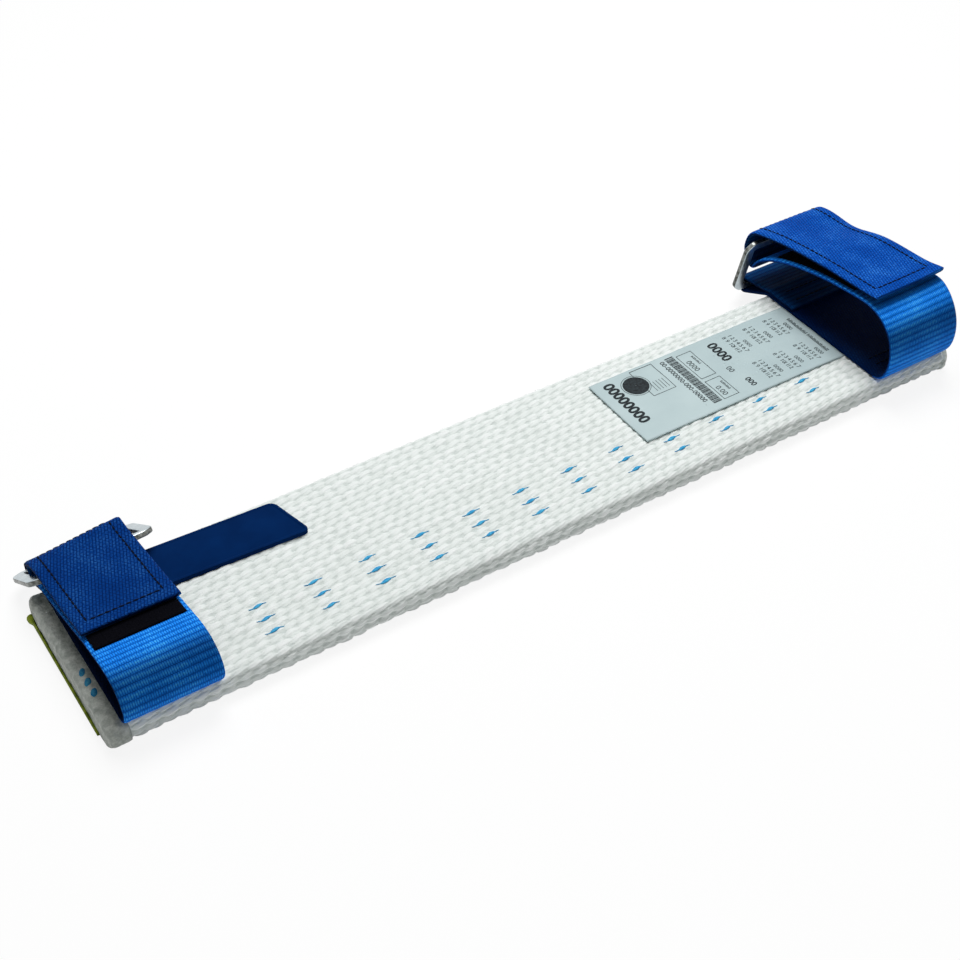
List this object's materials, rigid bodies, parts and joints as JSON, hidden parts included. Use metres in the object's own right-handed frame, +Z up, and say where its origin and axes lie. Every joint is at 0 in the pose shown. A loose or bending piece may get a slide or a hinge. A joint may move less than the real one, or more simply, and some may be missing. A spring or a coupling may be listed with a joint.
{
  "type": "sling protection pad",
  "caption": "Thick woven cut-protection pad for a lifting sling, with hook-and-loop straps that arch over the sling, pass through flat steel rings and fold back.",
  "frame": {"origin": "middle of the pad's underside", "axes": "+X along the pad towards the end with the label, +Y across it towards the edge with the rings, +Z up from the underside"},
  "size_m": [0.5044, 0.1284, 0.0622],
  "materials": {
    "pad_weave": "coarse white woven webbing",
    "end_resin": "grey translucent resin over the cut ends",
    "end_tape": "yellow-green tape",
    "marker_yarn": "light blue yarn floats",
    "badge": "moulded navy blue, satin",
    "label": "pale grey-blue printed film",
    "strap_webbing": "royal blue woven webbing with a slight sheen",
    "thread": "dark navy sewing thread",
    "hook_and_pile": "black hook-and-loop tape",
    "ring_steel": "stamped light grey steel"
  },
  "bodies": {
    "pad": {"pad_webbing": "pad_weave", "left_end_seal": "end_resin", "right_end_seal": "end_resin", "end_tape": "end_tape", "marker_yarns": "marker_yarn", "badge": "badge", "inspection_label": "label", "left_base_strap": "strap_webbing", "left_ring_keeper": "strap_webbing", "left_base_stitches": "thread", "right_base_strap": "strap_webbing", "right_ring_keeper": "strap_webbing", "right_base_stitches": "thread"},
    "left_front": {"left_front_bend": "strap_webbing"},
    "left_run": {"left_upper_run": "strap_webbing", "left_pile_tape": "hook_and_pile", "left_fold": "strap_webbing"},
    "left_flap": {"left_flap": "strap_webbing", "left_hook_tape": "hook_and_pile", "left_flap_stitches": "thread"},
    "left_ring": {"left_ring": "ring_steel"},
    "right_front": {"right_front_bend": "strap_webbing"},
    "right_run": {"right_upper_run": "strap_webbing", "right_pile_tape": "hook_and_pile", "right_fold": "strap_webbing"},
    "right_flap": {"right_flap": "strap_webbing", "right_hook_tape": "hook_and_pile", "right_flap_stitches": "thread"},
    "right_ring": {"right_ring": "ring_steel"}
  },
  "joints": [
    {"name": "left_ring_swing", "type": "hinge", "parent": "pad", "child": "left_ring", "pos_m": [-0.2175, 0.0698, 0.00792], "axis": [1, 0, 0], "range_deg": [-20, 3], "stiffness_Nm_per_rad": 0.4},
    {"name": "left_front_sway", "type": "hinge", "parent": "pad", "child": "left_front", "pos_m": [-0.2175, -0.041, 0.014], "axis": [1, 0, 0], "range_deg": [-20, 3], "deforming": ["left_front_bend"]},
    {"name": "left_run_level", "type": "hinge", "parent": "left_front", "child": "left_run", "pos_m": [-0.2175, -0.06803, 0.03293], "axis": [1, 0, 0], "range_deg": [-3, 20]},
    {"name": "left_flap_peel", "type": "hinge", "parent": "left_run", "child": "left_flap", "pos_m": [-0.2175, 0.05155, 0.02623], "axis": [-1, 0, 0], "range_deg": [0, 165], "deforming": ["left_fold"]},
    {"name": "right_ring_swing", "type": "hinge", "parent": "pad", "child": "right_ring", "pos_m": [0.221, 0.066, 0.00962], "axis": [1, 0, 0], "range_deg": [-20, 25], "stiffness_Nm_per_rad": 0.4},
    {"name": "right_front_sway", "type": "hinge", "parent": "pad", "child": "right_front", "pos_m": [0.221, -0.049, 0.016], "axis": [1, 0, 0], "range_deg": [-20, 25], "deforming": ["right_front_bend"]},
    {"name": "right_run_level", "type": "hinge", "parent": "right_front", "child": "right_run", "pos_m": [0.221, -0.05642, 0.04815], "axis": [1, 0, 0], "range_deg": [-25, 20]},
    {"name": "right_flap_peel", "type": "hinge", "parent": "right_run", "child": "right_flap", "pos_m": [0.221, 0.05948, 0.04134], "axis": [-1, 0, 0], "range_deg": [0, 165], "deforming": ["right_fold"]}
  ],
  "couplings": [
    {"joint": "left_front_sway", "follows": "left_ring_swing", "ratio": 1},
    {"joint": "left_run_level", "follows": "left_ring_swing", "ratio": -1},
    {"joint": "right_front_sway", "follows": "right_ring_swing", "ratio": 1},
    {"joint": "right_run_level", "follows": "right_ring_swing", "ratio": -1}
  ]
}
